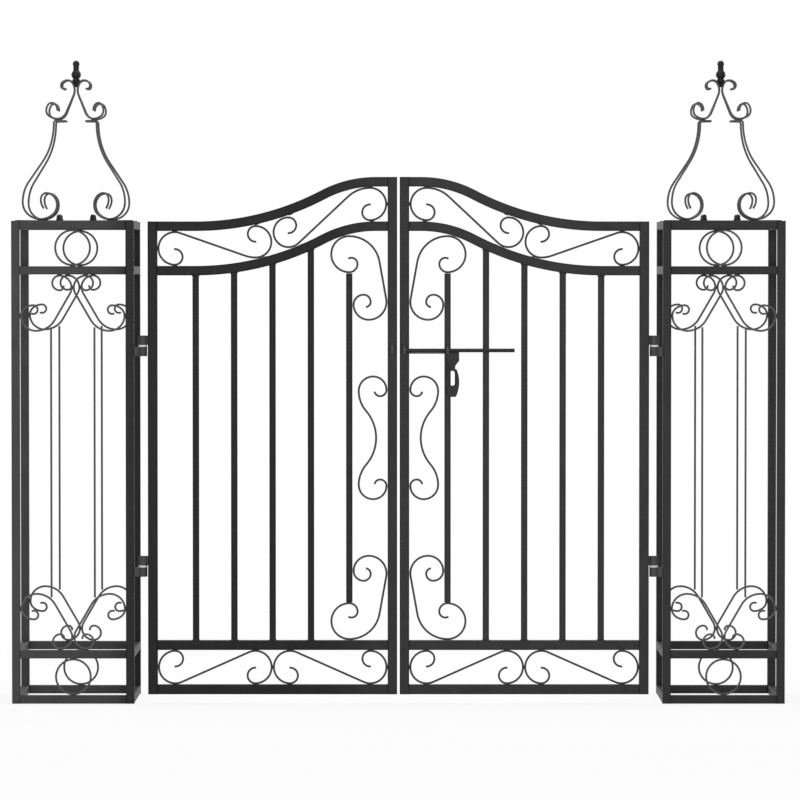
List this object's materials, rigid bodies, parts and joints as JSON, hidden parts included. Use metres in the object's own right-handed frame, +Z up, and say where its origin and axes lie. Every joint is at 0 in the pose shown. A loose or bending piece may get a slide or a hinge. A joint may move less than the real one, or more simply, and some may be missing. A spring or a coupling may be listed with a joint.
{
  "type": "wrought iron garden gate",
  "caption": "Double-leaf ornamental iron garden gate with arched top, scrollwork, open box pillars with crowns and finials, and a slide bolt",
  "frame": {"origin": "on the ground under the middle of the left pillar's front base rail", "axes": "+X along the gate to the right pillar, +Y from the front to the back, +Z up"},
  "size_m": [1.22, 0.2063, 1.0181],
  "materials": {
    "black_powder_coat": "satin",
    "washer_nylon": "matte"
  },
  "bodies": {
    "pillars": {"left_pillar_posts": "black_powder_coat", "left_pillar_face_rails": "black_powder_coat", "left_pillar_side_rails": "black_powder_coat", "left_pillar_front_panel": "black_powder_coat", "left_pillar_back_panel": "black_powder_coat", "left_pillar_rings": "black_powder_coat", "left_crown_cross": "black_powder_coat", "left_crown_arms": "black_powder_coat", "left_finial": "black_powder_coat", "left_hinge_pins": "black_powder_coat", "left_hinge_washers": "washer_nylon", "right_pillar_posts": "black_powder_coat", "right_pillar_face_rails": "black_powder_coat", "right_pillar_side_rails": "black_powder_coat", "right_pillar_front_panel": "black_powder_coat", "right_pillar_back_panel": "black_powder_coat", "right_pillar_rings": "black_powder_coat", "right_crown_cross": "black_powder_coat", "right_crown_arms": "black_powder_coat", "right_finial": "black_powder_coat", "right_hinge_pins": "black_powder_coat", "right_hinge_washers": "washer_nylon"},
    "left_leaf": {"left_leaf_stiles": "black_powder_coat", "left_leaf_top_rail": "black_powder_coat", "left_leaf_second_rail": "black_powder_coat", "left_leaf_low_rails": "black_powder_coat", "left_leaf_balusters": "black_powder_coat", "left_leaf_band_scrolls": "black_powder_coat", "left_leaf_foot_scrolls": "black_powder_coat", "left_leaf_brackets": "black_powder_coat", "left_leaf_knuckles": "black_powder_coat", "bolt_keeper": "black_powder_coat"},
    "right_leaf": {"right_leaf_stiles": "black_powder_coat", "right_leaf_top_rail": "black_powder_coat", "right_leaf_second_rail": "black_powder_coat", "right_leaf_low_rails": "black_powder_coat", "right_leaf_balusters": "black_powder_coat", "right_leaf_band_scrolls": "black_powder_coat", "right_leaf_foot_scrolls": "black_powder_coat", "right_leaf_brackets": "black_powder_coat", "right_leaf_knuckles": "black_powder_coat", "bolt_guides": "black_powder_coat"},
    "bolt": {"bolt_rod": "black_powder_coat", "bolt_handle": "black_powder_coat"}
  },
  "joints": [
    {"name": "left_leaf_swing", "type": "hinge", "parent": "pillars", "child": "left_leaf", "pos_m": [0.1103, 0, 0.391], "axis": [0, 0, 1], "range_deg": [0, 90]},
    {"name": "right_leaf_swing", "type": "hinge", "parent": "pillars", "child": "right_leaf", "pos_m": [0.9167, 0, 0.391], "axis": [0, 0, -1], "range_deg": [0, 90]},
    {"name": "bolt_slide", "type": "slide", "parent": "right_leaf", "child": "bolt", "axis": [1, 0, 0], "range_m": [-0.0475, 0]}
  ]
}
